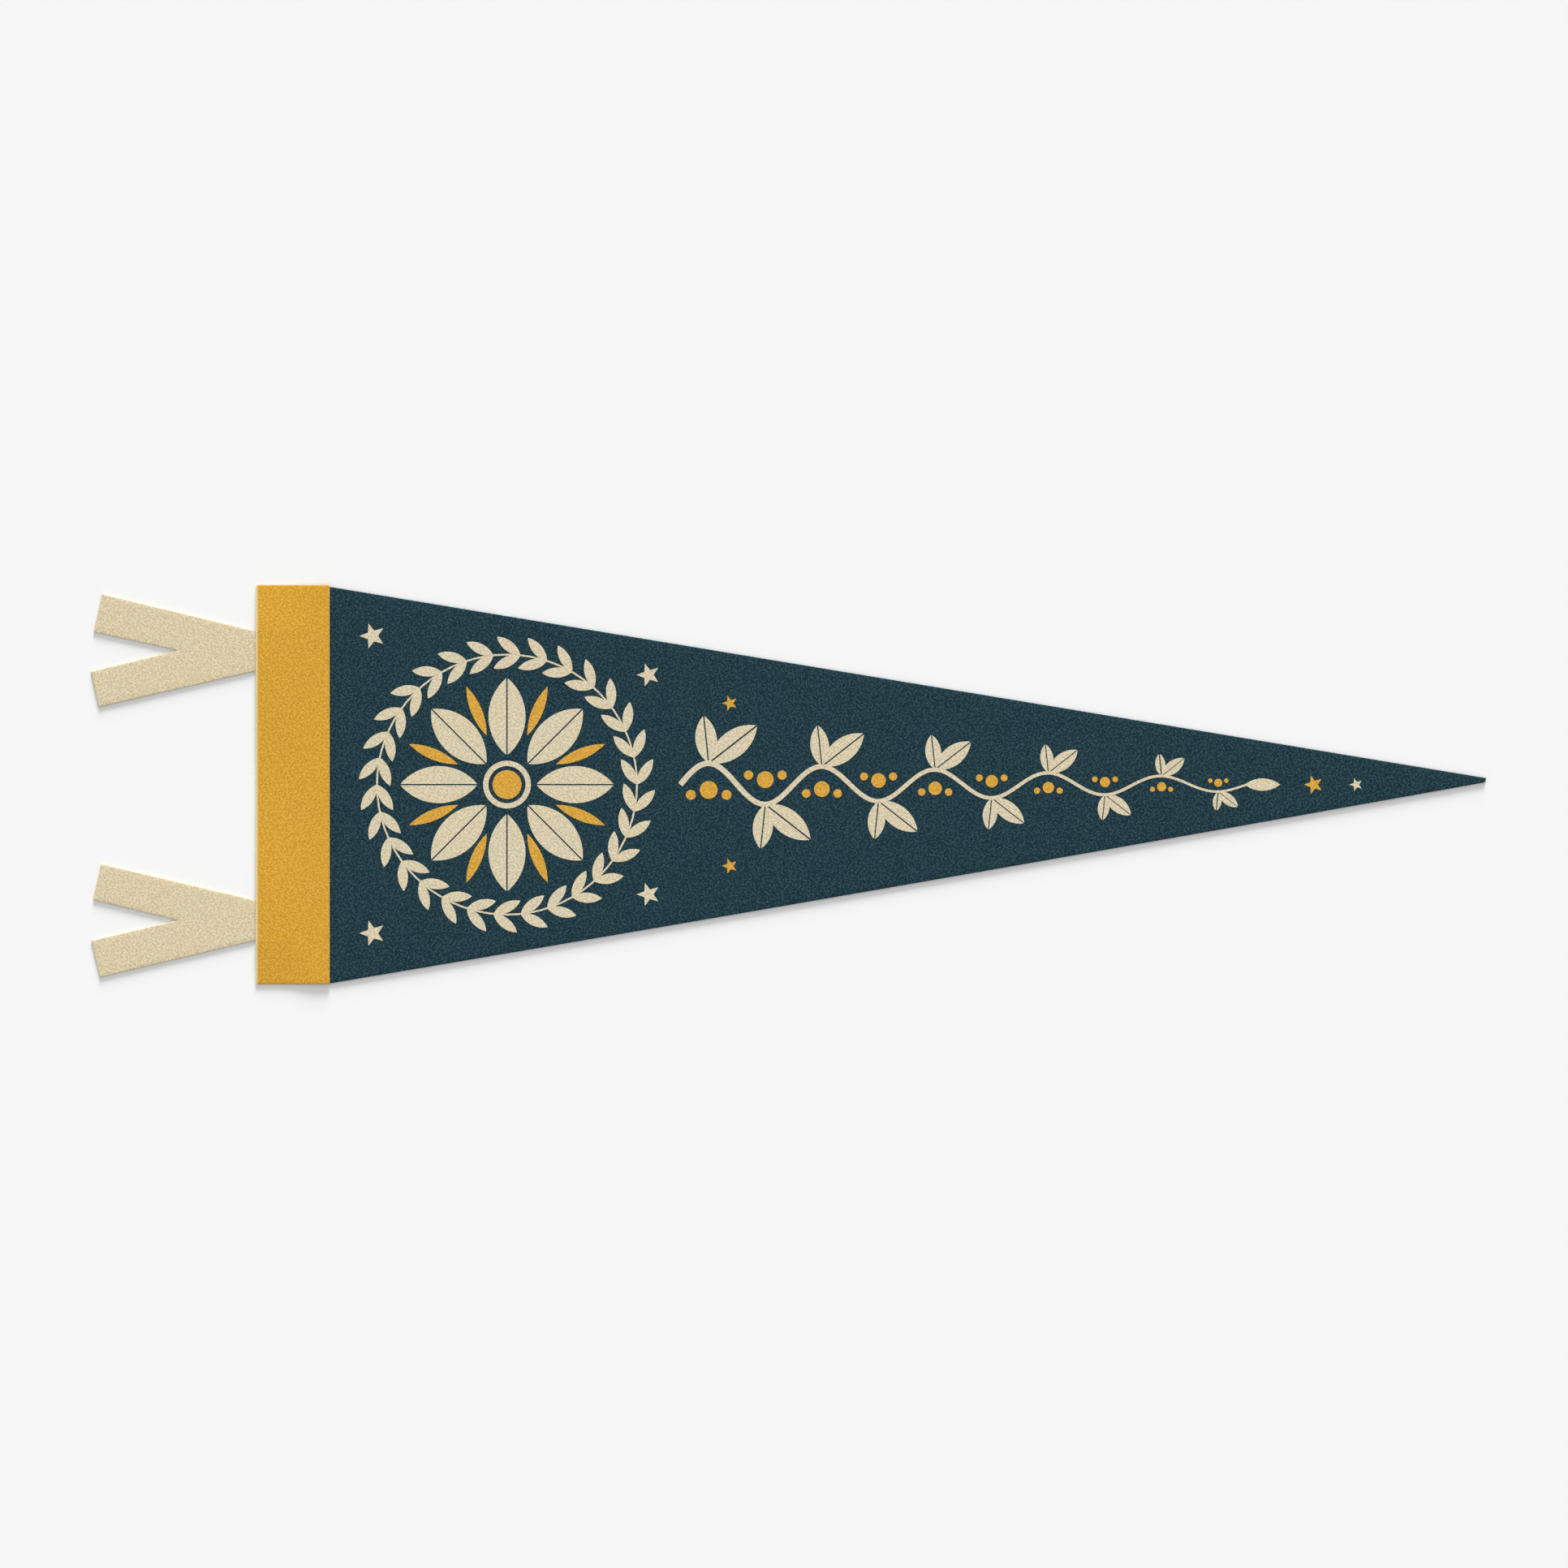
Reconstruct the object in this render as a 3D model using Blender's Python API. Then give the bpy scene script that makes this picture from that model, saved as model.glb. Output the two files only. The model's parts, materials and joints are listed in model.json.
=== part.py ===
"""A felt pennant flag that lies flat: a long tapering body, a header strip over its wide end, and
two forked tie tails tucked under the strip's hoist edge.

Metres, +Z up. +X runs from the tails to the tip, and +Y is the flag's upper edge as it is seen
from above. The origin is the middle of the whole outline, on the surface that the flag lies on.
"""
import math

import bmesh
import bpy
from mathutils import Matrix, Vector

# Cloth
FELT = 0.0014  # thickness of the body
TRIM_FELT = 0.0012  # thickness of the header and the tails
PLY_GAP = 0.0003  # gap between two plies that are sewn together
EDGE_ROUND = 0.00025  # softening of the cut edges' upper arris

# Header strip: its hoist edge is the line that the lengths below are measured from
HEADER_WIDTH = 0.0418
HEADER_HEIGHT = 0.2257
HEADER_CORNER = 0.0010
END_SAG = 0.0013  # how far the strip's two ends droop, where nothing lies under them
MIDDLE_SAG = 0.0009  # how far its hoist edge droops midway between the tails
SAG_HOLD = 0.014  # width of strip, from the hoist edge, that droops by the whole amount

# Body: the base is under the header, the tip is cut blunt and sits a little above the middle
BODY_LAP = 0.0080  # how far the body's base runs under the header
BASE_TRIM = 0.0004  # the base is trimmed this much inside the header's two ends
BODY_SEAM_TOP = 0.1118  # upper edge where it leaves the header
BODY_SEAM_BOTTOM = -0.1124  # lower edge where it leaves the header
BODY_REACH = 0.6955  # hoist edge to the upper corner of the tip
TIP_TOP = 0.0037
TIP_BOTTOM = 0.0013
TIP_SLANT = 0.0006  # how far the lower corner of the tip falls short of the upper one
LOWER_EDGE_BOW = 0.0009  # outward bow of the lower edge at its middle
BOW_STEPS = 12

# Tails
TAIL_TUCK = 0.0220  # how far the roots run under the header
RAMP_STEPS = 6

# One row for each leg of the tails: the tail, the side that it turns to (1 up, -1 down), the
# height of its axis at the hoist edge, its turn and the further slant of its end (degrees), its
# length from the hoist edge, and its widths at the hoist edge and at the end.
LEGS = (
    ("tails_upper", 1, 0.0764, 13.0, -0.4, 0.0917, 0.0202, 0.0221),
    ("tails_upper", -1, 0.0754, 13.3, -0.9, 0.0936, 0.0217, 0.0206),
    ("tails_lower", 1, -0.0764, 13.4, -1.1, 0.0923, 0.0213, 0.0210),
    ("tails_lower", -1, -0.0772, 13.3, -0.2, 0.0931, 0.0211, 0.0214),
)

# Looks: colour (linear), roughness
FELT_TEAL = ((0.020, 0.048, 0.065), 0.92)
FELT_MUSTARD = ((0.665, 0.356, 0.045), 0.92)
FELT_CREAM = ((0.700, 0.597, 0.402), 0.92)


def clear_scene():
    for ob in list(bpy.data.objects):
        bpy.data.objects.remove(ob, do_unlink=True)


def felt_material(name, look):
    colour, roughness = look
    mat = bpy.data.materials.new(name)
    mat.use_nodes = True
    bsdf = mat.node_tree.nodes["Principled BSDF"]
    bsdf.inputs["Base Color"].default_value = (*colour, 1.0)
    bsdf.inputs["Roughness"].default_value = roughness
    bsdf.inputs["Metallic"].default_value = 0.0
    return mat


def smooth_step(t):
    """Goes from 0 to 1 without a kink at either end."""
    t = min(max(t, 0.0), 1.0)
    return t * t * (3.0 - 2.0 * t)


def ease(t):
    """Goes from 0 to 1 evenly, and turns only near the two ends."""
    t = min(max(t, 0.0), 1.0)
    return 0.6 * t + 0.4 * smooth_step(t)


def sheet_from_outline(outline, bottom, thickness):
    """A closed felt sheet: the outline (anticlockwise from above) pulled up by the thickness, with
    its upper arris softened."""
    bm = bmesh.new()
    floor = bm.faces.new([bm.verts.new((x, y, bottom)) for x, y in outline])
    lifted = bmesh.ops.extrude_face_region(bm, geom=[floor])["geom"]
    top_verts = [g for g in lifted if isinstance(g, bmesh.types.BMVert)]
    bmesh.ops.translate(bm, verts=top_verts, vec=(0.0, 0.0, thickness))
    bmesh.ops.recalc_face_normals(bm, faces=bm.faces)
    arris = [e for e in bm.edges if all(v in top_verts for v in e.verts)]
    bmesh.ops.bevel(bm, geom=arris, offset=EDGE_ROUND, segments=1, affect="EDGES", clamp_overlap=True)
    return bm


def cut_across(bm, places, normal):
    """Adds a line of edges at each place along the normal, for the sheet to bend at."""
    for place in places:
        everything = bm.verts[:] + bm.edges[:] + bm.faces[:]
        bmesh.ops.bisect_plane(bm, geom=everything, plane_co=normal * place, plane_no=normal)


def finish_piece(bm, name, look, shift):
    bmesh.ops.translate(bm, verts=bm.verts, vec=shift)
    bmesh.ops.triangulate(bm, faces=bm.faces)
    bmesh.ops.recalc_face_normals(bm, faces=bm.faces)
    mesh = bpy.data.meshes.new(name)
    bm.to_mesh(mesh)
    bm.free()
    mesh.materials.append(felt_material(name + "_felt", look))
    ob = bpy.data.objects.new(name, mesh)
    bpy.context.scene.collection.objects.link(ob)
    return ob


def body_outline():
    """Anticlockwise from the lower end of the base. The upper edge is straight, the lower one bows."""
    tip_low = Vector((BODY_REACH - TIP_SLANT, TIP_BOTTOM))
    tip_high = Vector((BODY_REACH, TIP_TOP))
    seam_low = Vector((HEADER_WIDTH, BODY_SEAM_BOTTOM))
    seam_high = Vector((HEADER_WIDTH, BODY_SEAM_TOP))
    base_half = HEADER_HEIGHT / 2.0 - BASE_TRIM
    base_x = HEADER_WIDTH - BODY_LAP
    outline = [Vector((base_x, -base_half))]
    for i in range(BOW_STEPS):
        t = i / BOW_STEPS
        point = seam_low.lerp(tip_low, t)
        outline.append(point - Vector((0.0, 4.0 * LOWER_EDGE_BOW * t * (1.0 - t))))
    outline += [tip_low, tip_high, seam_high, Vector((base_x, base_half))]
    return outline


def header_outline():
    """Anticlockwise. The two corners on the body's side are rounded a little."""
    half = HEADER_HEIGHT / 2.0
    outline = [(0.0, -half)]
    for centre_y, start in ((-half + HEADER_CORNER, -90.0), (half - HEADER_CORNER, 0.0)):
        for k in range(4):
            angle = math.radians(start + 30.0 * k)
            x = HEADER_WIDTH - HEADER_CORNER + HEADER_CORNER * math.cos(angle)
            outline.append((x, centre_y + HEADER_CORNER * math.sin(angle)))
    outline.append((0.0, half))
    return outline


def leg_sides(row):
    """The upper and the lower side of one leg, each as (point at the hoist edge, end corner)."""
    _, side, axis_y, turn, slant, length, root_width, end_width = row
    angle = math.radians(turn) * side
    along = Vector((-math.cos(angle), math.sin(angle)))
    across = Vector((math.sin(angle), math.cos(angle)))
    cap = Matrix.Rotation(-math.radians(slant) * side, 2) @ across
    start = Vector((0.0, axis_y))
    end = start + along * length
    reach = root_width / (2.0 * math.cos(angle))
    upper = (start + Vector((0.0, reach)), end + cap * end_width / 2.0)
    lower = (start - Vector((0.0, reach)), end - cap * end_width / 2.0)
    return upper, lower


def crossing(line_a, line_b):
    """Where two lines, each given by two points, meet."""
    (a0, a1), (b0, b1) = line_a, line_b
    da = a1 - a0
    db = b1 - b0
    t = (b0 - a0).cross(db) / da.cross(db)
    return a0 + da * t


def tail_outline(name):
    """Anticlockwise: the root under the header, out along the upper leg, in to the crotch, out
    and back along the lower leg."""
    up_row, down_row = [row for row in LEGS if row[0] == name]
    up_upper, up_lower = leg_sides(up_row)
    down_upper, down_lower = leg_sides(down_row)
    crotch = crossing(up_lower, down_upper)
    root_high = Vector((TAIL_TUCK, up_upper[0].y))
    root_low = Vector((TAIL_TUCK, down_lower[0].y))
    return [root_low, root_high, up_upper[0], up_upper[1], up_lower[1],
            crotch, down_upper[1], down_lower[1], down_lower[0]]


def make_body(shift):
    bm = sheet_from_outline(body_outline(), 0.0, FELT)
    return finish_piece(bm, "body", FELT_TEAL, shift)


def make_tail(name, shift):
    bm = sheet_from_outline(tail_outline(name), 0.0, TRIM_FELT)
    return finish_piece(bm, name, FELT_CREAM, shift)


def droop_at(y, spans):
    """How far the header's hoist edge droops at this height."""
    (low_root, low_inner), (high_inner, high_root) = spans
    if low_root <= y <= low_inner or high_inner <= y <= high_root:
        return 0.0
    if low_inner < y < high_inner:
        away = min(y - low_inner, high_inner - y)
        return MIDDLE_SAG * smooth_step(2.0 * away / (high_inner - low_inner))
    away = max(low_root - y, y - high_root)
    run = HEADER_HEIGHT / 2.0 - max(-low_root, high_root)
    return END_SAG * ease(away / run)


def make_header(shift):
    """Lies on the body's base and on the tails' roots. Its hoist edge droops between the roots and
    beyond them."""
    spans = root_spans()
    (low_root, low_inner), (high_inner, high_root) = spans
    half = HEADER_HEIGHT / 2.0
    free_width = HEADER_WIDTH - BODY_LAP
    bm = sheet_from_outline(header_outline(), FELT + PLY_GAP, TRIM_FELT)
    droop_cuts = [high_inner, low_root, high_root]
    for k in range(2 * RAMP_STEPS):
        droop_cuts.append(low_inner + (high_inner - low_inner) * k / (2 * RAMP_STEPS))
    for k in range(1, RAMP_STEPS):
        droop_cuts.append(-half + (low_root + half) * k / RAMP_STEPS)
        droop_cuts.append(high_root + (half - high_root) * k / RAMP_STEPS)
    cut_across(bm, droop_cuts, Vector((0.0, 1.0, 0.0)))
    rise_cuts = [SAG_HOLD + (free_width - SAG_HOLD) * k / RAMP_STEPS for k in range(RAMP_STEPS + 1)]
    cut_across(bm, rise_cuts, Vector((1.0, 0.0, 0.0)))
    for v in bm.verts:
        droop = droop_at(v.co.y, spans) * smooth_step((free_width - v.co.x) / (free_width - SAG_HOLD))
        settle = smooth_step((free_width - v.co.x) / (free_width - TAIL_TUCK))
        v.co.z -= (FELT - TRIM_FELT) * settle + droop
    return finish_piece(bm, "header", FELT_MUSTARD, shift)


def root_spans():
    """The lowest and highest y of each tail's root."""
    spans = []
    for name in ("tails_lower", "tails_upper"):
        root_low, root_high = tail_outline(name)[:2]
        spans.append((root_low.y, root_high.y))
    return spans


def main():
    clear_scene()
    ends = [point.x for name in ("tails_upper", "tails_lower") for point in tail_outline(name)]
    middle = (min(ends) + BODY_REACH) / 2.0
    shift = Vector((-middle, 0.0, 0.0))
    make_body(shift)
    make_header(shift)
    for name in ("tails_upper", "tails_lower"):
        make_tail(name, shift)


main()
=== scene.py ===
# %% [markdown]
# # Dressing a felt pennant flag
# The solids of the pennant are already cut, sized and placed: a long body, a header strip and two
# forked tie tails. Here each of them gets the cloth that shows: a soft cut edge, a plain weave
# under a nap of fibres, and a flat print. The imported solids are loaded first, and every size
# below is read from them or given in metres.

# %% Load the frame
import json
import math
import random

import bpy
import numpy as np
from mathutils import Matrix, Vector, noise

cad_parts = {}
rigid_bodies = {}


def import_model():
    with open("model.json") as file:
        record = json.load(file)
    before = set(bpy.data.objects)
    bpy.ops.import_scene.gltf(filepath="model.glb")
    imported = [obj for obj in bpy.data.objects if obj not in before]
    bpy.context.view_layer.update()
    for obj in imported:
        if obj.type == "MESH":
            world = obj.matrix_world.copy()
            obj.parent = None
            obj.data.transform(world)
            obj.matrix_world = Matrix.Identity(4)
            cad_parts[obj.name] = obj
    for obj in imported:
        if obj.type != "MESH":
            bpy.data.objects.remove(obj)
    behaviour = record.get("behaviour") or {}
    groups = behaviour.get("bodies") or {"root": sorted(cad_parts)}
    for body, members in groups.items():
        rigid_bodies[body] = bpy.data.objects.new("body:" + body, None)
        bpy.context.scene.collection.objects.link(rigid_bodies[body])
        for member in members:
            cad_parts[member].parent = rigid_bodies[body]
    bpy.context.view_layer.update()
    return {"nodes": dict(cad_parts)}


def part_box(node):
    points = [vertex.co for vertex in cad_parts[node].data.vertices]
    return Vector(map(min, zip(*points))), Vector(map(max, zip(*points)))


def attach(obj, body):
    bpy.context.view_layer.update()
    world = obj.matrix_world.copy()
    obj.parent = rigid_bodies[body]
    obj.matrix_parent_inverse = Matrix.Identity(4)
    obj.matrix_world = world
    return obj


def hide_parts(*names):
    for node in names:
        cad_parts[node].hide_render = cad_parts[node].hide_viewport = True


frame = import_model()

# %% Places read from the frame
header_low, header_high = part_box("header")
body_low, body_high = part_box("body")
HOIST_X = header_low[0]  # the hoist edge, from which the pennant is measured
SEAM_X = header_high[0]  # the header's other edge, where the bare body begins
TIP_X = body_high[0]
FELT_TOP = body_high[2]  # height of the body's upper face
print("header to tip, mm:", round((TIP_X - SEAM_X) * 1000, 1))

# %% [markdown]
# ## The view
# The pennant lies on a table and is seen straight from above. A long lens from far away keeps
# its edges straight and shows hardly any of its sides. The lens looks at the point of the table
# that is in the middle of the picture, so the same piece of table fills the frame.

# %% Camera
PICTURE_SIDE = 1932  # pixels
TABLE_PER_PIXEL = 0.000459  # metres of table that one pixel covers
HOIST_PIXEL = (315.5, 966.75)  # where the middle of the hoist edge is in the picture
LENS = 100.0
SENSOR = 36.0

view_x = HOIST_X + (PICTURE_SIDE / 2 - HOIST_PIXEL[0]) * TABLE_PER_PIXEL
view_y = (HOIST_PIXEL[1] - PICTURE_SIDE / 2) * TABLE_PER_PIXEL
view_height = PICTURE_SIDE * TABLE_PER_PIXEL * LENS / SENSOR
bpy.ops.object.camera_add(location=(view_x, view_y, view_height), rotation=(0, 0, 0))
camera = bpy.context.object
camera.name = "camera_above"
camera.data.lens = LENS
camera.data.sensor_width = SENSOR
bpy.context.scene.camera = camera
print("camera height, m:", round(view_height, 3))

# %% [markdown]
# ## Table and light
# The table is plain and nearly white. One soft lamp stands low beyond the pennant's upper edge, so
# a sheet little more than a millimetre thick still throws a shadow five millimetres long below
# it. An even white sky gives the larger part of the light and keeps that shadow pale. A sun lamp
# with a wide angle lights the whole frame alike.

# %% Table
TABLE_WHITE = (0.90, 0.90, 0.90, 1.0)
TABLE_SIDE = 8.0
TABLE_DROP = 0.00005  # keeps the table clear of the cloth's underside

bpy.ops.mesh.primitive_plane_add(size=TABLE_SIDE, location=(0, 0, -TABLE_DROP))
table = bpy.context.object
table.name = "table"
table_paint = bpy.data.materials.new("table_paint")
table_paint.use_nodes = True
table_shader = table_paint.node_tree.nodes["Principled BSDF"]
table_shader.inputs["Base Color"].default_value = TABLE_WHITE
table_shader.inputs["Roughness"].default_value = 0.9
table_shader.inputs["Specular IOR Level"].default_value = 0.0
table.data.materials.append(table_paint)

# %% Lamp and sky
LAMP_ABOVE_TABLE = math.radians(14.5)  # elevation of the lamp's middle
LAMP_TURN = math.radians(5)  # how far it stands to the right of straight beyond the upper edge
LAMP_SPREAD = math.radians(20)
LAMP_STRENGTH = 4.85
SKY_STRENGTH = 0.645

bpy.ops.object.light_add(type="SUN", location=(0, 1, 1))
lamp = bpy.context.object
lamp.name = "soft_lamp"
lamp.data.energy = LAMP_STRENGTH
lamp.data.angle = LAMP_SPREAD
towards_lamp = Vector((
    math.cos(LAMP_ABOVE_TABLE) * math.sin(LAMP_TURN),
    math.cos(LAMP_ABOVE_TABLE) * math.cos(LAMP_TURN),
    math.sin(LAMP_ABOVE_TABLE)))
lamp.rotation_euler = towards_lamp.to_track_quat("Z", "Y").to_euler()

sky = bpy.data.worlds.new("white_sky")
sky.use_nodes = True
sky.node_tree.nodes["Background"].inputs["Color"].default_value = (1, 1, 1, 1)
sky.node_tree.nodes["Background"].inputs["Strength"].default_value = SKY_STRENGTH
bpy.context.scene.world = sky
bpy.context.scene.view_settings.view_transform = "Standard"
shadow = (FELT_TOP - body_low[2]) / math.tan(LAMP_ABOVE_TABLE)
print("length of the body's shadow, mm:", round(shadow * 1000, 1))

# %% [markdown]
# ## How the cloth looks close up
# All four pieces are the same cloth in different dyes. Its threads cross one over one, about
# fourteen to the centimetre, which makes a tiny checkerboard of raised and sunken crossings. A
# felted nap hides the checks in some patches and leaves them clear in others. Two node groups
# make this once, and every material uses them: one for the crossings and one for the nap. They
# read Object coordinates, so the pattern runs on from the cloth into the print on it. A few
# helpers come first, because a node tree is the same three moves over and over: add a node, set
# it, link it.

# %% Node helpers
def add_node(tree, kind, inputs=None, **settings):
    """Adds a node, sets its properties, and fills or links its inputs."""
    made = tree.nodes.new(kind)
    for key, value in settings.items():
        setattr(made, key, value)
    for key, value in (inputs or {}).items():
        if isinstance(value, bpy.types.NodeSocket):
            tree.links.new(value, made.inputs[key])
        else:
            made.inputs[key].default_value = value
    return made


def calc(tree, operation, first, second=0.0, third=0.0):
    """One sum on two or three numbers or sockets."""
    terms = {0: first, 1: second, 2: third}
    return add_node(tree, "ShaderNodeMath", terms, operation=operation).outputs[0]


def stretch(tree, value, low, high, to_low=0.0, to_high=1.0):
    """Spreads the values between low and high over a new range."""
    ends = {"Value": value, "From Min": low, "From Max": high, "To Min": to_low, "To Max": to_high}
    spread = add_node(tree, "ShaderNodeMapRange", ends, interpolation_type="SMOOTHSTEP")
    return spread.outputs["Result"]


def mix(tree, share, first, second, blend="MIX"):
    """Mixes two colours. On this node 6 and 7 are the colours that go in, and 2 comes out."""
    colours = {0: share, 6: first, 7: second}
    made = add_node(tree, "ShaderNodeMix", colours, data_type="RGBA", blend_type=blend)
    return made.outputs[2]


def new_group(name, inputs, outputs):
    """An empty node group with named sockets; gives its tree, its input and its output node."""
    tree = bpy.data.node_groups.new(name, "ShaderNodeTree")
    for label, kind, value in inputs:
        socket = tree.interface.new_socket(label, in_out="INPUT", socket_type=kind)
        if value is not None:
            socket.default_value = value
    for label in outputs:
        tree.interface.new_socket(label, in_out="OUTPUT", socket_type="NodeSocketFloat")
    return tree, tree.nodes.new("NodeGroupInput"), tree.nodes.new("NodeGroupOutput")


# %% [markdown]
# ### The thread crossings
# Two sine waves, one along X and one along Y, multiplied with each other give a checkerboard of
# hills and hollows. A slow noise shifts the place that they read, so no thread runs dead
# straight, and a second noise fades the checks where the nap lies over them.

# %% The thread crossings
THREAD_REPEAT = 0.00146  # two threads, the length after which the weave repeats
THREAD_WAVER = 0.00030  # how far a thread strays, at most about half of this
WAVER_SCALE = 140.0  # bends in a thread to the metre
HIDING_SCALE = 75.0  # patches of nap to the metre
HIDING_RANGE = (0.36, 0.62)  # the noise values at which the weave is most hidden and quite clear
LEAST_CLEAR = 0.25  # how much of the weave shows where it is most hidden


def make_weave_group():
    """Puts out the crossings from -1, sunken, to 1, raised, already faded by the nap's patches."""
    tree, given, result = new_group(
        "plain_weave",
        [("Place", "NodeSocketVector", None),
         ("Repeat", "NodeSocketFloat", THREAD_REPEAT),
         ("Waver", "NodeSocketFloat", THREAD_WAVER),
         ("Patch Scale", "NodeSocketFloat", HIDING_SCALE)],
        ["Weave"])
    place = given.outputs["Place"]
    bend = add_node(
        tree, "ShaderNodeTexNoise", {"Vector": place, "Scale": WAVER_SCALE, "Detail": 1.0})
    centred = add_node(
        tree, "ShaderNodeVectorMath", {0: bend.outputs["Color"], 1: (0.5, 0.5, 0.5)},
        operation="SUBTRACT")
    shift = add_node(
        tree, "ShaderNodeVectorMath", {0: centred.outputs[0], "Scale": given.outputs["Waver"]},
        operation="SCALE")
    wavering = add_node(
        tree, "ShaderNodeVectorMath", {0: place, 1: shift.outputs[0]}, operation="ADD")
    axes = add_node(tree, "ShaderNodeSeparateXYZ", {0: wavering.outputs[0]})
    turns = calc(tree, "DIVIDE", 2 * math.pi, given.outputs["Repeat"])
    across = calc(tree, "SINE", calc(tree, "MULTIPLY", axes.outputs["X"], turns))
    along = calc(tree, "SINE", calc(tree, "MULTIPLY", axes.outputs["Y"], turns))
    checks = calc(tree, "MULTIPLY", across, along)
    patches = add_node(
        tree, "ShaderNodeTexNoise",
        {"Vector": place, "Scale": given.outputs["Patch Scale"], "Detail": 2.0, "Roughness": 0.6})
    clear = stretch(tree, patches.outputs["Fac"], *HIDING_RANGE, LEAST_CLEAR, 1.0)
    tree.links.new(calc(tree, "MULTIPLY", checks, clear), result.inputs["Weave"])
    return tree


weave_group = make_weave_group()
print("thread crossings to the centimetre:", round(0.01 * 2 / THREAD_REPEAT, 1))

# %% [markdown]
# ### The nap
# The milling that felts the cloth mats short fibres over the threads. Three noises of different
# fineness stand for it: blobs of matted nap, single fibres, and wide patches. They are flat
# patterns, so every sheet shows them alike at whatever height it lies.

# %% The nap
NAP_SLANT = math.radians(38)  # the nap lies askew to the threads
NAP_ROUGHNESS = 0.6
NAP_RANGE = (0.3, 0.7)  # nearly all values of a noise are between these two


def make_nap_group():
    """Puts out three uneven fields from -1 to 1."""
    tree, given, result = new_group(
        "felted_nap",
        [("Place", "NodeSocketVector", None),
         ("Blob Scale", "NodeSocketFloat", 300.0),
         ("Fibre Scale", "NodeSocketFloat", 850.0),
         ("Patch Scale", "NodeSocketFloat", 28.0)],
        ["Blobs", "Fibres", "Patches"])
    slant = add_node(
        tree, "ShaderNodeVectorRotate", {"Vector": given.outputs["Place"], "Angle": NAP_SLANT},
        rotation_type="Z_AXIS")
    for label, scale, detail in (
            ("Blobs", "Blob Scale", 1.0),
            ("Fibres", "Fibre Scale", 1.0),
            ("Patches", "Patch Scale", 2.0)):
        field = add_node(
            tree, "ShaderNodeTexNoise",
            {"Vector": slant.outputs[0], "Scale": given.outputs[scale], "Detail": detail,
             "Roughness": NAP_ROUGHNESS},
            noise_dimensions="2D")
        spread = stretch(tree, field.outputs["Fac"], *NAP_RANGE, -1.0, 1.0)
        tree.links.new(spread, result.inputs[label])
    return tree


nap_group = make_nap_group()
print("node groups of the cloth:", weave_group.name, nap_group.name)

# %% [markdown]
# ## The dyes, with painted shade on the weave
# A felt material takes three shades of its dye: one for the sunken crossings, one for the cloth
# as a whole and one for the raised crossings. The darker sunken and lighter raised shades are
# partly the threads' own colour and partly painted shade in the hollows and painted highlight on
# the raised crossings. A colour ramp puts them in that order along the weave's height, mixed with
# the nap. The same height drives the bump, so the painted shading and the real bump agree.

# %% Height of the cloth
WEAVE_SHARE = 0.50  # what each part of the cloth adds to its height
BLOB_SHARE = 0.05
FIBRE_SHARE = 0.34


def cloth_height(tree, place):
    """Puts both groups into a material; gives the cloth's height, from -1 to 1, and the nap."""
    weave = add_node(tree, "ShaderNodeGroup", node_tree=weave_group)
    nap = add_node(tree, "ShaderNodeGroup", node_tree=nap_group)
    tree.links.new(place, weave.inputs["Place"])
    tree.links.new(place, nap.inputs["Place"])
    height = calc(tree, "MULTIPLY", weave.outputs["Weave"], WEAVE_SHARE)
    height = calc(tree, "MULTIPLY_ADD", nap.outputs["Blobs"], BLOB_SHARE, height)
    height = calc(tree, "MULTIPLY_ADD", nap.outputs["Fibres"], FIBRE_SHARE, height)
    return height, nap


# %% Shades of a dye, with painted shade and highlight on the weave
WARM = (1.01, 1.00, 0.98, 1.0)  # the wide patches drift between these two casts
COOL = (0.99, 1.00, 1.02, 1.0)


def shade(red, green, blue):
    """A colour from 0 to 255, as a screen shows it, made linear for Blender."""
    channels = []
    for value in (red, green, blue):
        v = value / 255
        channels.append(v / 12.92 if v <= 0.04045 else ((v + 0.055) / 1.055) ** 2.4)
    return (*channels, 1.0)


def dye_and_weave_shading(tree, height, patches, sunken, whole, raised):
    """The three shades along the cloth's height, partly painted shade in the hollows and painted
    highlight on the raised crossings, with a faint drift over the wide patches.
    """
    # The ramp paints shade into the sunken crossings and highlight onto the raised ones.
    level = calc(tree, "MULTIPLY_ADD", height, 0.5, 0.5)
    ramp = add_node(tree, "ShaderNodeValToRGB", {"Fac": level})
    ramp.color_ramp.elements[0].color = sunken
    ramp.color_ramp.elements[1].color = raised
    middle = ramp.color_ramp.elements.new(0.5)
    middle.color = whole
    cast = mix(tree, stretch(tree, patches, -1.0, 1.0), WARM, COOL)
    return mix(tree, 1.0, ramp.outputs["Color"], cast, blend="MULTIPLY")


# %% [markdown]
# A cut edge shows the ends of the fibres and looks duller than the face. Its colour is also partly
# painted light: painted shade that dims the mustard and cream rims which the low lamp lights, and a
# painted highlight on the teal rim. Each sheet will carry an attribute named rim that is 1 on the
# cut and 0 on the face, and the material reads it. The header's hoist edge also gets a painted
# highlight, a narrow pale line, so its material can lighten the colour from a given place along X.

# %% Felt materials
CUT_AND_PAINTED_LIGHT_SHARE = 0.7  # how much of the cut's colour, partly painted shade and highlight, shows on the rim
# A painted highlight: a narrow pale line along the header's hoist edge.
HOIST_HIGHLIGHT_REACH = 0.0018  # width of the painted highlight line
HOIST_HIGHLIGHT_WAVER = 0.0002  # how far its border strays
HOIST_HIGHLIGHT_SHARE = 0.7
HOIST_HIGHLIGHT_COLOUR = shade(244, 236, 196)
RELIEF = 0.00007  # what a height of 1 is in metres, for the bump
RELIEF_STRENGTH = 0.7
ROUGHNESS = (0.84, 0.98)  # between the fibres, and on them


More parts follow.
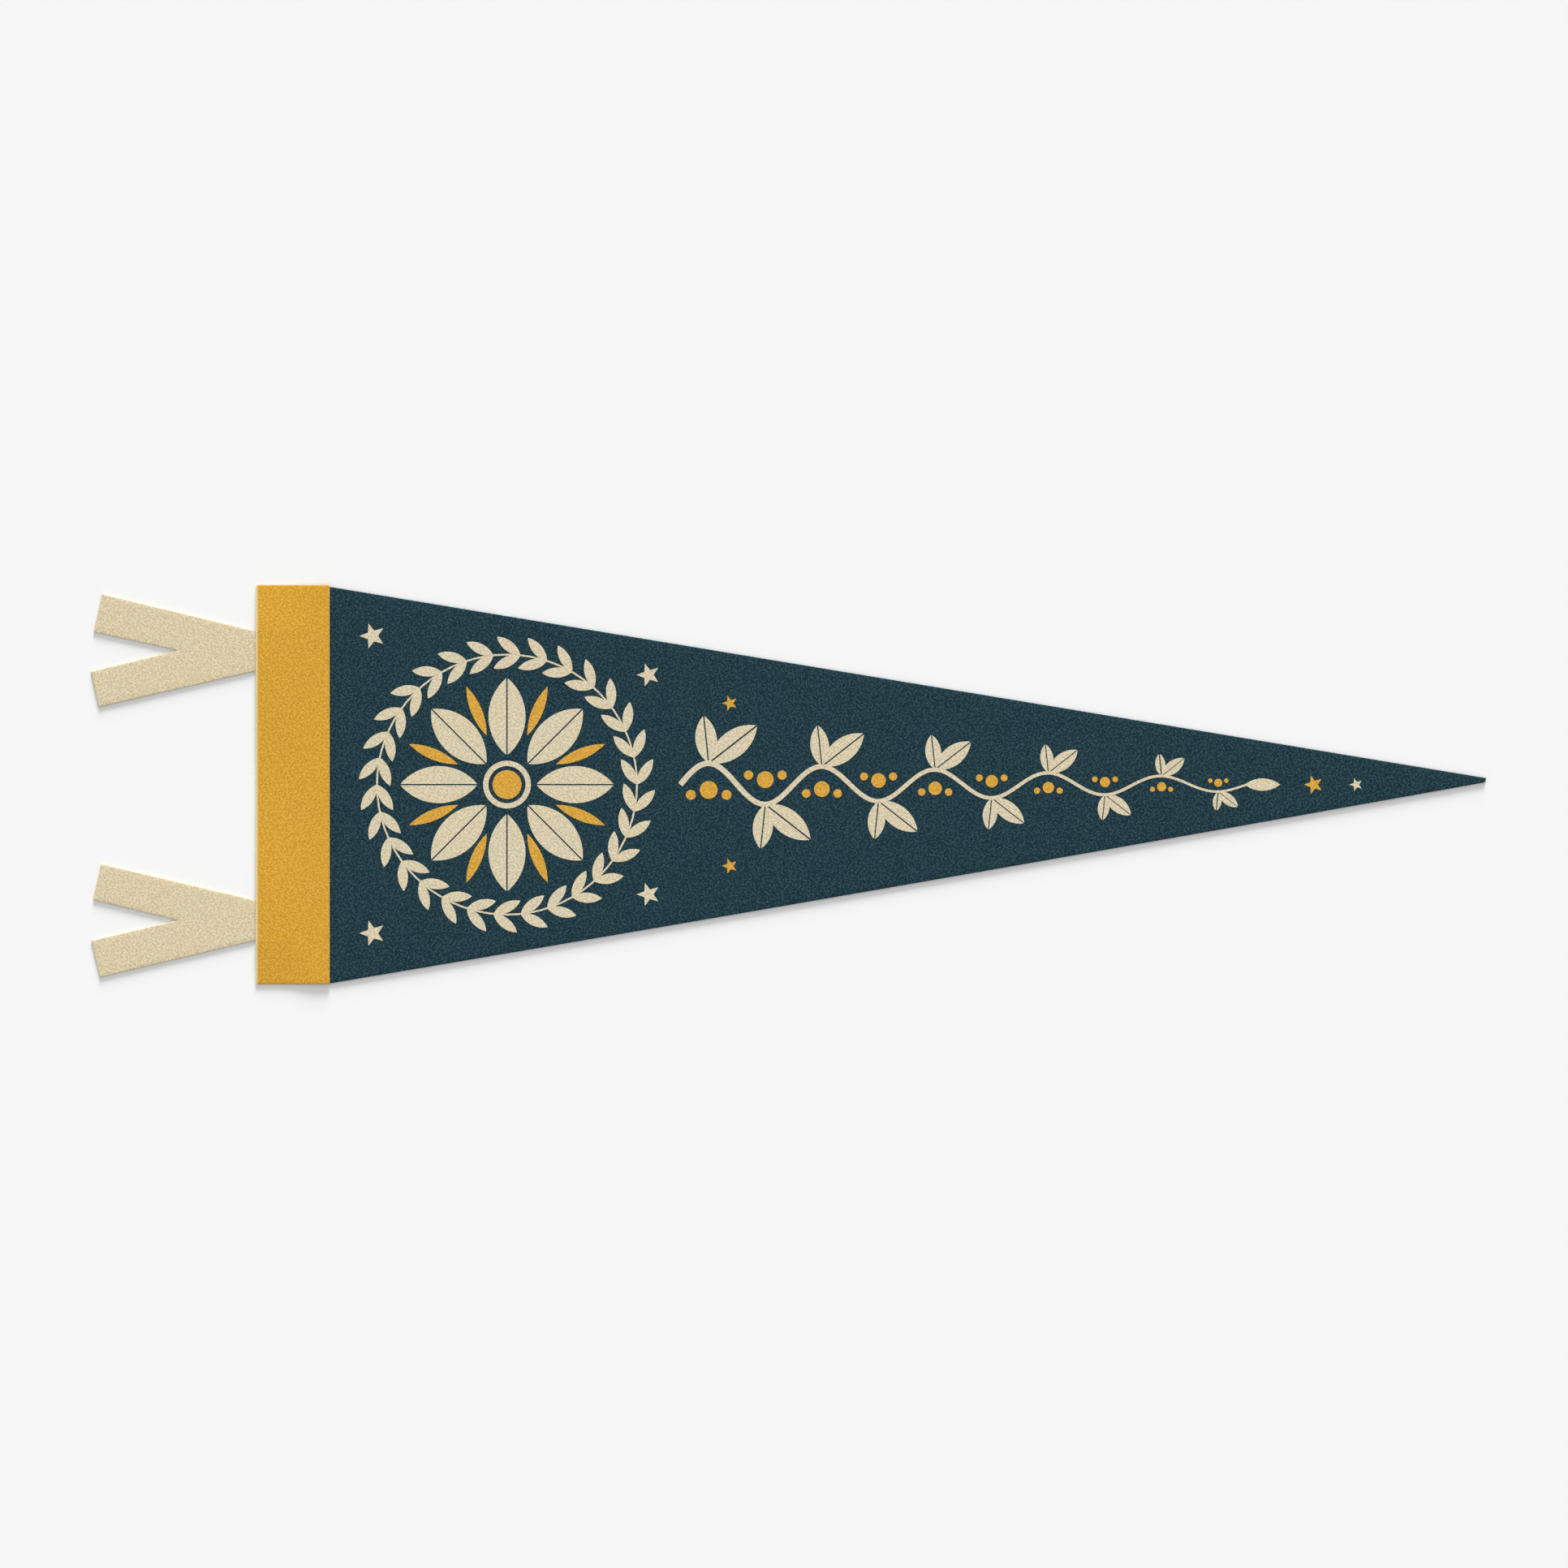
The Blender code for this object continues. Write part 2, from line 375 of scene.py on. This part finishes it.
def painted_highlight_line(tree, colour, place, fibres, highlight_x):
    """Paints a highlight: lets the colour go pale in a narrow, uneven line that begins at the given
    x.
    """
    axes = add_node(tree, "ShaderNodeSeparateXYZ", {0: place})
    reach = calc(tree, "MULTIPLY_ADD", fibres, HOIST_HIGHLIGHT_WAVER, axes.outputs["X"])
    highlight_share = stretch(tree, reach, highlight_x, highlight_x + HOIST_HIGHLIGHT_REACH, HOIST_HIGHLIGHT_SHARE, 0.0)
    return mix(tree, highlight_share, colour, HOIST_HIGHLIGHT_COLOUR)


def make_felt(name, sunken, whole, raised, sheen=0.08, cut=None, highlight_x=None):
    """A felt material of three shades. cut is the colour of its cut edge, partly painted light, and
    the last argument is where along X a painted highlight line begins."""
    mat = bpy.data.materials.new(name)
    mat.use_nodes = True
    tree = mat.node_tree
    shader = tree.nodes["Principled BSDF"]
    place = add_node(tree, "ShaderNodeTexCoord").outputs["Object"]
    height, nap = cloth_height(tree, place)
    colour = dye_and_weave_shading(tree, height, nap.outputs["Patches"], sunken, whole, raised)
    # The cut colour is partly painted light: shade on the mustard and cream rims, highlight on the
    # teal.
    if cut is not None:
        rim = add_node(tree, "ShaderNodeAttribute", attribute_name="rim").outputs["Fac"]
        colour = mix(tree, calc(tree, "MULTIPLY", rim, CUT_AND_PAINTED_LIGHT_SHARE), colour, cut)
    # A painted highlight in a narrow line along the hoist edge.
    if highlight_x is not None:
        colour = painted_highlight_line(tree, colour, place, nap.outputs["Fibres"], highlight_x)
    tree.links.new(colour, shader.inputs["Base Color"])
    rough = stretch(tree, nap.outputs["Fibres"], -1.0, 1.0, *ROUGHNESS)
    tree.links.new(rough, shader.inputs["Roughness"])
    bump = add_node(
        tree, "ShaderNodeBump", {"Height": height, "Strength": RELIEF_STRENGTH, "Distance": RELIEF})
    tree.links.new(bump.outputs["Normal"], shader.inputs["Normal"])
    shader.inputs["Specular IOR Level"].default_value = 0.10
    shader.inputs["Sheen Weight"].default_value = sheen
    shader.inputs["Sheen Roughness"].default_value = 0.6
    return mat


# %% The three dyes and the two inks
# In each, the first shade is partly painted shade and the last partly painted highlight.
teal_felt = make_felt(
    "teal_felt", shade(0, 12, 19), shade(21, 50, 60), shade(74, 104, 114),
    sheen=0.03, cut=shade(32, 52, 60))
mustard_felt = make_felt(
    "mustard_felt", shade(172, 118, 12), shade(209, 156, 46), shade(246, 196, 92),
    cut=shade(196, 168, 108), highlight_x=HOIST_X)
cream_felt = make_felt(
    "cream_felt", shade(173, 157, 123), shade(213, 198, 164), shade(250, 238, 205),
    cut=shade(196, 186, 158))
cream_ink = make_felt(
    "cream_ink", shade(166, 153, 122), shade(212, 199, 168), shade(252, 240, 212))
gold_ink = make_felt(
    "gold_ink", shade(170, 116, 14), shade(210, 158, 56), shade(248, 200, 104))
looks = (teal_felt, mustard_felt, cream_felt, cream_ink, gold_ink)
print("materials:", [mat.name for mat in looks])

# %% [markdown]
# ## The four sheets
# Each sheet starts as a copy of its solid's underside, so its outline is right from the start.
# Three narrow insets run round the edge, fine cuts in both directions give it points to bend at,
# and a Solidify modifier gives it the felt's thickness. Then the edge is softened: cut felt is
# pressed down by the blade and its corner is round, never sharp. The edge also wanders by a few
# hundredths of a millimetre, as hand shears leave it.

# %% Working on one object at a time
def only(ob):
    """Makes one object the whole selection, so that operators touch nothing else."""
    bpy.ops.object.select_all(action="DESELECT")
    ob.select_set(True)
    bpy.context.view_layer.objects.active = ob


def pick_faces(ob, wanted):
    """Selects the faces for which wanted(face) is true, ready for edit mode."""
    ob.data.vertices.foreach_set("select", [False] * len(ob.data.vertices))
    ob.data.edges.foreach_set("select", [False] * len(ob.data.edges))
    ob.data.polygons.foreach_set("select", [bool(wanted(face)) for face in ob.data.polygons])


def read_outline(ob):
    """The sheet's outer edges as an array of segments, each x0, y0, x1, y1."""
    bpy.ops.object.mode_set(mode="OBJECT")
    uses = {}
    for face in ob.data.polygons:
        for key in face.edge_keys:
            uses[key] = uses.get(key, 0) + 1
    points = ob.data.vertices
    outer = [key for key, count in uses.items() if count == 1]
    segments = [(*points[a].co.xy, *points[b].co.xy) for a, b in outer]
    bpy.ops.object.mode_set(mode="EDIT")
    bpy.ops.mesh.select_all(action="SELECT")
    return np.array(segments)


# %% Cutting a sheet from its solid
RIM_INSETS = (0.00010, 0.00014, 0.00022)
SAME_POINT = 0.00001  # points of a solid that are closer than this are one
FACES_DOWN = -0.9  # a face whose normal's Z is below this belongs to the underside
SAME_PLANE = math.radians(0.05)


def cut_grid(low, high, cell):
    """Cuts the sheet in edit mode along lines that are one cell apart, across X and across Y."""
    for axis in (0, 1):
        place = low[axis] + cell
        while place < high[axis]:
            point = [0.0, 0.0, 0.0]
            normal = [0.0, 0.0, 0.0]
            point[axis] = place
            normal[axis] = 1.0
            bpy.ops.mesh.select_all(action="SELECT")
            bpy.ops.mesh.bisect(plane_co=point, plane_no=normal)
            place += cell


def cut_sheet(node_name, piece_name, cell):
    """The underside of a solid as one open sheet, with a finely divided rim and even cells."""
    ob = bpy.data.objects.new(piece_name, frame["nodes"][node_name].data.copy())
    ob.data.materials.clear()
    bpy.context.scene.collection.objects.link(ob)
    only(ob)
    bpy.ops.object.mode_set(mode="EDIT")
    bpy.ops.mesh.select_mode(type="FACE")
    bpy.ops.mesh.customdata_custom_splitnormals_clear()
    bpy.ops.mesh.select_all(action="SELECT")
    bpy.ops.mesh.remove_doubles(threshold=SAME_POINT)
    bpy.ops.object.mode_set(mode="OBJECT")
    pick_faces(ob, lambda face: face.normal.z > FACES_DOWN)
    bpy.ops.object.mode_set(mode="EDIT")
    bpy.ops.mesh.delete(type="FACE")
    bpy.ops.mesh.select_all(action="SELECT")
    bpy.ops.mesh.dissolve_limited(angle_limit=SAME_PLANE)
    outline = read_outline(ob)
    for step in RIM_INSETS:
        bpy.ops.mesh.inset(thickness=step, depth=0.0)
    cut_grid(*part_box(node_name), cell)
    bpy.ops.object.mode_set(mode="OBJECT")
    return ob, outline


# %% [markdown]
# The blade and the stitches shape the thickened sheet. Every point's distance from the cut says
# how far it falls there, and its distance from the header's edges says how far it is squeezed.

# %% Distance from the cut
def edge_distance(points, outline):
    """How far each point is from the nearest edge."""
    start = outline[:, :2]
    run = outline[:, 2:] - start
    share = ((points[:, None] - start) * run).sum(2) / (run ** 2).sum(1)
    nearest = start + run * np.clip(share, 0, 1)[..., None]
    away = points[:, None] - nearest
    distance = np.hypot(away[..., 0], away[..., 1])
    return distance.min(1)


# %% Thickness and a soft edge
RIM = sum(RIM_INSETS)
TOP_ROUND = 0.00026  # how far the upper face falls at the very edge
UNDER_ROUND = 0.00012
PRESSED = 0.00009  # how far the blade has pressed the cloth down beside the cut
PRESSED_REACH = 0.0030
SEAM_SLOPE = 0.0030  # width of cloth, beside the header, in which it goes down under it
WANDER = 0.00005  # how far the cut strays
WANDER_SCALE = 320.0  # bends in the cut to the metre
SMOOTH_BELOW = math.radians(60)  # edges that turn more than this stay sharp

noise.seed_set(11)  # without a seed, Blender's noise takes one from the clock


def thicken(ob, outline, thickness, kept=1.0, press=0.0):
    """Solidifies the sheet upwards and rounds its rim. kept is the share of its height above the
    table that it keeps, and press is how far it is squeezed under the header."""
    only(ob)
    solid = ob.modifiers.new("felt", "SOLIDIFY")
    solid.thickness = thickness
    solid.offset = -1.0
    bpy.ops.object.modifier_apply(modifier="felt")
    count = len(ob.data.vertices) // 2
    flat = np.array([v.co[:] for v in ob.data.vertices])
    distance = edge_distance(flat[:, :2], outline)
    inward = np.clip(1.0 - distance / RIM, 0.0, 1.0)
    fall = 1.0 - np.sqrt(1.0 - inward ** 2)
    under = np.arange(len(flat)) < count
    flat[:, 2] -= np.tile(flat[:count, 2] * (1.0 - kept), 2)
    flat[under, 2] += UNDER_ROUND * fall[under]
    past_edge = np.minimum(flat[:, 0] - HOIST_X, SEAM_X - flat[:, 0])
    squeezed = np.clip(1.0 + past_edge / SEAM_SLOPE, 0.0, 1.0)
    flat[~under, 2] -= press * (squeezed ** 2 * (3.0 - 2.0 * squeezed))[~under]
    beside = np.clip(1.0 - distance / PRESSED_REACH, 0.0, 1.0)
    flat[~under, 2] -= TOP_ROUND * fall[~under] + PRESSED * beside[~under] ** 2
    rim = ob.data.attributes.new("rim", "FLOAT", "POINT")
    rim.data.foreach_set("value", inward)
    for vertex, place in zip(ob.data.vertices, flat):
        stray = noise.noise_vector(Vector((place[0], place[1], 0.0)) * WANDER_SCALE)
        reach = WANDER if distance[vertex.index] < RIM_INSETS[0] / 2 else 0.0
        vertex.co = Vector(place) + Vector((stray.x, stray.y, 0.0)) * reach
    ob.data.update()
    bpy.ops.object.shade_smooth_by_angle(angle=SMOOTH_BELOW)
    return ob


# %% [markdown]
# The body is one sheet lying flat. The header lies over its base and over the tails' roots. It is
# sewn down hard, so the cloth under it is squeezed and the header lies lower than its solid, which
# keeps a gap there. Header and tails are of a slightly thinner felt.

# %% Make the four sheets
BODY_CELL = 0.0020
TRIM_CELL = 0.0015
SEWN_HEIGHT = 0.65  # the share of its solid's height above the table at which the header lies
SEAM_PRESS = 0.0004  # how far the stitches press the cloth that lies under the header

body_thickness = FELT_TOP - body_low[2]
tail_low, tail_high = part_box("tails_upper")
trim_thickness = tail_high[2] - tail_low[2]  # the header is cut from the same felt as the tails
sheets = {}
for node_name, cell, thickness, kept, press, look in (
        ("body", BODY_CELL, body_thickness, 1.0, SEAM_PRESS, teal_felt),
        ("header", TRIM_CELL, trim_thickness, SEWN_HEIGHT, 0.0, mustard_felt),
        ("tails_upper", TRIM_CELL, trim_thickness, 1.0, SEAM_PRESS, cream_felt),
        ("tails_lower", TRIM_CELL, trim_thickness, 1.0, SEAM_PRESS, cream_felt)):
    sheet, outline = cut_sheet(node_name, node_name + "_felt", cell)
    flat_area = sum(face.area for face in sheet.data.polygons)
    thicken(sheet, outline, thickness, kept, press)
    sheet.data.materials.append(look)
    sheets[node_name] = (sheet, flat_area)
    print(sheet.name, "faces:", len(sheet.data.polygons))
    print("flat area, square cm:", round(flat_area * 1e4, 1))

# %% [markdown]
# ## Loose fibres
# Cut felt never ends in a clean line, because short fibres stand out of the cut. One fibre is made
# here: a thin three-sided rod, drawn out in steps that bend it and make it finer. Copies of it go
# along every cut, each with its own length, lean and turn.

# %% One fibre
FIBRE_THICK = 0.000045
FIBRE_LENGTH = 0.00120
FIBRE_STEPS = 5
FIBRE_BEND = math.radians(12)  # at each step
FIBRE_TAPER = 0.82  # the width that each step keeps


def make_fibre():
    """A bent fibre that stands on the origin and points up."""
    bpy.ops.object.select_all(action="DESELECT")
    bpy.ops.mesh.primitive_circle_add(
        vertices=3, radius=FIBRE_THICK, fill_type="NGON", location=(0, 0, 0))
    ob = bpy.context.object
    ob.name = "motif_fibre"
    step = FIBRE_LENGTH / FIBRE_STEPS
    bpy.ops.object.mode_set(mode="EDIT")
    bpy.ops.mesh.select_all(action="SELECT")
    for k in range(FIBRE_STEPS):
        lean = FIBRE_BEND * k
        move = (0, step * math.sin(lean), step * math.cos(lean))
        bpy.ops.mesh.extrude_region_move(TRANSFORM_OT_translate={"value": move})
        bpy.ops.transform.resize(value=(FIBRE_TAPER, FIBRE_TAPER, FIBRE_TAPER))
    bpy.ops.mesh.select_all(action="SELECT")
    bpy.ops.mesh.normals_make_consistent(inside=False)
    bpy.ops.object.mode_set(mode="OBJECT")
    return ob


fibre = make_fibre()
print("faces of a fibre:", len(fibre.data.polygons))


# %% Joining
def join_pieces(parts, name, look):
    """Joins parts of one material into one named piece."""
    bpy.ops.object.select_all(action="DESELECT")
    for part in parts:
        part.select_set(True)
    bpy.context.view_layer.objects.active = parts[0]
    bpy.ops.object.join()
    piece = bpy.context.object
    piece.name = name
    piece.data.name = name
    piece.data.materials.clear()
    piece.data.materials.append(look)
    return piece


# %% Fray the cuts
FRAY_EVERY = 0.0011  # one fibre to this length of cut
FRAY_HEIGHTS = (-0.3, 0.4)  # where it grows, as a share of the cut's height from its middle
FRAY_SPREAD = 1.3  # how far a fibre leans along the cut, against standing straight out
FRAY_RISE = (0.00, 0.60)
FRAY_SIZES = (0.35, 1.10)
FRAY_SPIN = math.radians(75)
UPRIGHT = 0.5  # a face whose normal's Z is above this isn't part of the cut
ON_THE_CUT = 0.99  # the least value of rim on it

random.seed(11)


def fray(sheet, name, look):
    """Copies of the fibre along the upright faces of a sheet's cut edge, joined into one piece."""
    points = sheet.data.vertices
    rim = [value.value for value in sheet.data.attributes["rim"].data]
    fibres = []
    for face in sheet.data.polygons:
        if abs(face.normal.z) > UPRIGHT or min(rim[k] for k in face.vertices) < ON_THE_CUT:
            continue
        corners = [points[k].co for k in face.vertices]
        sides = [b - a for a, b in zip(corners, corners[1:] + corners[:1])]
        along = max(sides, key=lambda side: side.xy.length)
        tall = max(side.z for side in sides)
        for _ in range(int(along.length / FRAY_EVERY + random.random())):
            root = face.center + along * (random.random() - 0.5)
            root.z += tall * random.uniform(*FRAY_HEIGHTS)
            way = face.normal + along.normalized() * random.uniform(-FRAY_SPREAD, FRAY_SPREAD)
            way.z += random.uniform(*FRAY_RISE)
            turned = way.to_track_quat("Z", "Y").to_matrix().to_4x4()
            spun = Matrix.Rotation(random.uniform(-FRAY_SPIN, FRAY_SPIN), 4, "Z")
            sized = Matrix.Scale(random.uniform(*FRAY_SIZES), 4)
            moved = Matrix.Translation(root - face.normal * FIBRE_THICK)
            copy = bpy.data.objects.new("fibre", fibre.data.copy())
            copy.data.transform(moved @ turned @ spun @ sized)
            bpy.context.scene.collection.objects.link(copy)
            fibres.append(copy)
    return join_pieces(fibres, name, look)


frays = {}
for node_name, (sheet, flat_area) in sheets.items():
    frays[node_name] = fray(sheet, node_name + "_fibres", sheet.data.materials[0])
    fibre_faces = frays[node_name].data.polygons
    print(node_name, "triangles of fibre:", sum(len(face.vertices) - 2 for face in fibre_faces))

# %% [markdown]
# ## The print
# Ink soaks into the upper threads and lies six hundredths of a millimetre proud of them. The
# design is a plain folk one: a rosette of eight petals in a wreath of leaves, a running vine
# towards the tip, and a few stars. Each motif is drawn once with the same few moves that a person
# would make by hand, then copied, turned and put in its place.

# %% Moves for flat motifs
INK_SUNK = 0.00006
INK_PROUD = 0.00006
INK_STEP = 0.00001


def start_motif(sides, radius, place=(0.0, 0.0)):
    """A filled circle at the height of the ink's underside, left in edit mode."""
    bpy.ops.object.select_all(action="DESELECT")
    bpy.ops.mesh.primitive_circle_add(
        vertices=sides, radius=radius, fill_type="NGON", location=(0, 0, 0))
    ob = bpy.context.object
    ob.name = "motif"
    bpy.ops.object.mode_set(mode="EDIT")
    bpy.ops.mesh.select_all(action="SELECT")
    bpy.ops.transform.translate(value=(place[0], place[1], FELT_TOP - INK_SUNK))
    return ob


def finish_motif(ob):
    """Gives the outline its thickness of ink and leaves edit mode."""
    bpy.ops.mesh.select_all(action="SELECT")
    bpy.ops.mesh.normals_make_consistent(inside=False)
    thickness = (0, 0, INK_SUNK + INK_PROUD)
    bpy.ops.mesh.extrude_region_move(TRANSFORM_OT_translate={"value": thickness})
    bpy.ops.mesh.select_all(action="SELECT")
    bpy.ops.mesh.normals_make_consistent(inside=False)
    bpy.ops.object.mode_set(mode="OBJECT")
    return ob


def put(motif, x, y, turn=0.0, reach=0.0, lift=0):
    """A copy of a motif with its own mesh, moved out by reach, turned, and set at a place that is
    measured from the hoist edge. Motifs that meet get different lifts, so that no two lie level."""
    copy = bpy.data.objects.new("print", motif.data.copy())
    bpy.context.scene.collection.objects.link(copy)
    angle = math.radians(turn)
    for vertex in copy.data.vertices:
        out = vertex.co.x + reach
        side = vertex.co.y
        vertex.co.x = HOIST_X + x + out * math.cos(angle) - side * math.sin(angle)
        vertex.co.y = y + out * math.sin(angle) + side * math.cos(angle)
        vertex.co.z += lift * INK_STEP
    return copy


# %% [markdown]
# A petal or a leaf is a pointed oval. A circle cut off by a straight line gives one half of it,
# and a mirrored duplicate gives the other. Left a little apart, the two halves show a bare vein.

# %% Leaves, discs and rings
def leaf(length, width, vein=0.0, sides=64):
    """A pointed oval along +X from the origin: a slice of a circle and its mirror image, with a
    bare line of this width between them as the vein."""
    half_width = width / 2
    radius = (length ** 2 / 4 + half_width ** 2) / (2 * half_width)
    finer = max(sides, int(sides * radius / length))  # a small slice of a large circle
    bow = start_motif(finer, radius, (length / 2, half_width - radius))
    bpy.ops.mesh.bisect(
        plane_co=(0, vein / 2, 0), plane_no=(0, 1, 0), use_fill=False, clear_inner=True)
    bpy.ops.mesh.select_all(action="SELECT")
    bpy.ops.mesh.duplicate()
    bpy.ops.transform.resize(value=(1, -1, 1), center_override=(0, 0, 0))
    bpy.ops.mesh.select_all(action="SELECT")
    if vein == 0.0:
        bpy.ops.mesh.remove_doubles(threshold=0.00002)
        bpy.ops.mesh.dissolve_faces()
    return finish_motif(bow)


def disc(radius, sides=40):
    return finish_motif(start_motif(sides, radius))


def ring(outer, inner, sides=72):
    """A disc whose middle is inset and taken out."""
    ob = start_motif(sides, outer)
    bpy.ops.mesh.inset(thickness=outer - inner)
    bpy.ops.mesh.delete(type="FACE")
    return finish_motif(ob)


# %% [markdown]
# ### Rosette and wreath
# Eight broad cream petals stand round a gold eye, with slim gold leaves between them. A wreath
# of small leaves in pairs, all leaning the same way round, closes the circle.

# %% Rosette
ROSETTE_X = 0.142
PETALS = 8
PETAL_START = 0.0165  # from the rosette's middle
SLIM_START = 0.0300

cream_parts = []
gold_parts = []

petal = leaf(0.044, 0.0210, vein=0.0008)
slim_leaf = leaf(0.030, 0.0062)
for k in range(PETALS):
    turn = 360 / PETALS * k
    cream_parts.append(put(petal, ROSETTE_X, 0, turn, PETAL_START))
    gold_parts.append(put(slim_leaf, ROSETTE_X, 0, turn + 180 / PETALS, SLIM_START))
cream_parts.append(put(ring(0.0135, 0.0105), ROSETTE_X, 0))
gold_parts.append(put(disc(0.0082), ROSETTE_X, 0))
print("motifs in the rosette:", len(cream_parts) + len(gold_parts))

# %% Wreath
WREATH_RADIUS = 0.0735
WREATH_LEAVES = 30
WREATH_LEAN = 32  # degrees between a leaf and the stem
STEM_HALF = 0.0005  # half the width of the stem

wreath_leaf = leaf(0.0170, 0.0058)
for k in range(WREATH_LEAVES):
    turn = 360 / WREATH_LEAVES * k
    x = ROSETTE_X + WREATH_RADIUS * math.cos(math.radians(turn))
    y = WREATH_RADIUS * math.sin(math.radians(turn))
    cream_parts.append(put(wreath_leaf, x, y, turn + 90 + WREATH_LEAN, lift=1))
    cream_parts.append(put(wreath_leaf, x, y, turn + 90 - WREATH_LEAN, lift=2))
cream_parts.append(put(ring(WREATH_RADIUS + STEM_HALF, WREATH_RADIUS - STEM_HALF), ROSETTE_X, 0))
print("leaves in the wreath:", WREATH_LEAVES * 2)

# %% [markdown]
# ### Vine and stars
# The vine is a wave that dies down towards the tip. A leaf springs from each crest and a gold
# berry sits in each hollow, both smaller as the pennant narrows.

# %% Vine
VINE_START = 0.240
VINE_END = 0.560
VINE_WAVES = 5
VINE_SWING = (0.0125, 0.0035)  # height of the wave at its start and its end
VINE_WIDTH = (0.0032, 0.0012)
VINE_STEPS = 240


def mixed(pair, share):
    return pair[0] + (pair[1] - pair[0]) * share


def vine_point(share):
    """Middle of the vine at a share of its length, and its direction in degrees."""
    phase = share * VINE_WAVES * 2 * math.pi
    length = VINE_END - VINE_START
    swing = mixed(VINE_SWING, share)
    slope = swing * math.cos(phase) * VINE_WAVES * 2 * math.pi / length
    return VINE_START + share * length, swing * math.sin(phase), math.degrees(math.atan(slope))


def make_vine():
    """A long grid one cell wide, laid along the wave and drawn thinner towards the tip."""
    bpy.ops.object.select_all(action="DESELECT")
    bpy.ops.mesh.primitive_grid_add(x_subdivisions=VINE_STEPS, y_subdivisions=1, size=1.0)
    ob = bpy.context.object
    ob.name = "motif"
    height = FELT_TOP - INK_SUNK
    for vertex in ob.data.vertices:
        share = vertex.co.x + 0.5
        side = vertex.co.y * mixed(VINE_WIDTH, share)
        x, y, turn = vine_point(share)
        angle = math.radians(turn)
        vertex.co = Vector((x - side * math.sin(angle), y + side * math.cos(angle), height))
    bpy.ops.object.mode_set(mode="EDIT")
    return finish_motif(ob)


cream_parts.append(put(make_vine(), 0, 0))
print("faces of the vine:", len(cream_parts[-1].data.polygons))

# %% Leaves and berries of the vine
LEAF_LENGTH = (0.0360, 0.0130)  # at the vine's start and its end
LEAF_WIDTH = 0.43  # this and the small leaf's sizes are shares of the large leaf's length
SMALL_LENGTH = 0.78
SMALL_WIDTH = 0.35
LEAF_TURN = 38  # degrees from the vine's general direction
SMALL_TURN = 96
VEIN_WIDTH = (0.0008, 0.0005)
BERRY_RADIUS = (0.0052, 0.0021)
BERRY_DROP = 1.25  # how deep the berry hangs in its hollow, against the height of the wave
SIDE_BERRY = 0.55  # radius and rise of the two berries beside it, against its own radius
SIDE_STEP = 2.0

for k in range(VINE_WAVES * 2):
    share = (k + 0.5) / (VINE_WAVES * 2)
    up = 1 if k % 2 == 0 else -1
    x, y, turn = vine_point(share)
    length = mixed(LEAF_LENGTH, share)
    vein = mixed(VEIN_WIDTH, share)
    large = leaf(length, length * LEAF_WIDTH, vein)
    small = leaf(length * SMALL_LENGTH, length * SMALL_WIDTH, vein)
    cream_parts.append(put(large, x, y, up * LEAF_TURN, lift=1))
    cream_parts.append(put(small, x, y, up * SMALL_TURN, lift=2))
    radius = mixed(BERRY_RADIUS, share)
    middle = y - up * mixed(VINE_SWING, share) * BERRY_DROP
    gold_parts.append(put(disc(radius), x, middle))
    for side in (-1, 1):
        beside = x + side * radius * SIDE_STEP
        gold_parts.append(put(disc(radius * SIDE_BERRY), beside, middle - up * radius * SIDE_BERRY))
cream_parts.append(put(leaf(0.020, 0.0070), VINE_END - 0.001, 0, lift=1))
print("leaves and berries on the vine:", VINE_WAVES * 2 * 5 + 1)

# %% [markdown]
# A star is a circle of ten sides with every other corner drawn in. Four cream ones fill the
# corners round the wreath, and the others follow the line of the vine.

# %% Stars
STAR_POINTS = 5
STAR_WAIST = 0.42  # how far its inner corners are from the middle, against the outer ones

# Each row: distance from the hoist edge, height, radius, colour.
STARS = (
    (0.066, 0.084, 0.0075, "cream"), (0.066, -0.084, 0.0075, "cream"),
    (0.222, 0.062, 0.0068, "cream"), (0.222, -0.062, 0.0068, "cream"),
    (0.268, 0.046, 0.0045, "gold"), (0.268, -0.046, 0.0045, "gold"),
    (0.598, 0.000, 0.0055, "gold"), (0.622, 0.000, 0.0038, "cream"),
)


def star(radius):
    ob = start_motif(STAR_POINTS * 2, radius)
    bpy.ops.object.mode_set(mode="OBJECT")
    for vertex in ob.data.vertices:
        vertex.select = vertex.index % 2 == 1
    for edge in ob.data.edges:
        edge.select = False
    for face in ob.data.polygons:
        face.select = False
    bpy.ops.object.mode_set(mode="EDIT")
    bpy.ops.mesh.select_mode(type="VERT")
    bpy.ops.transform.resize(value=(STAR_WAIST, STAR_WAIST, 1), center_override=(0, 0, 0))
    bpy.ops.mesh.select_mode(type="FACE")
    return finish_motif(ob)


for x, y, radius, colour in STARS:
    parts = cream_parts if colour == "cream" else gold_parts
    parts.append(put(star(radius), x, y, 90 / STAR_POINTS))
print("stars:", len(STARS))

# %% Join the print and clear the patterns away
cream_print = join_pieces(cream_parts, "print_cream", cream_ink)
gold_print = join_pieces(gold_parts, "print_gold", gold_ink)
for ob in [o for o in bpy.data.objects if o.name.startswith("motif")]:
    bpy.data.objects.remove(ob)
print("faces of ink:", len(cream_print.data.polygons) + len(gold_print.data.polygons))

# %% [markdown]
# ## Handing the pieces to the frame
# Every piece rides on the one body, and the solid that each sheet stands for is hidden.

for ink in (cream_print, gold_print):
    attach(ink, "root")
for node_name, (sheet, flat_area) in sheets.items():
    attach(sheet, "root")
    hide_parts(node_name)
    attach(frays[node_name], "root")
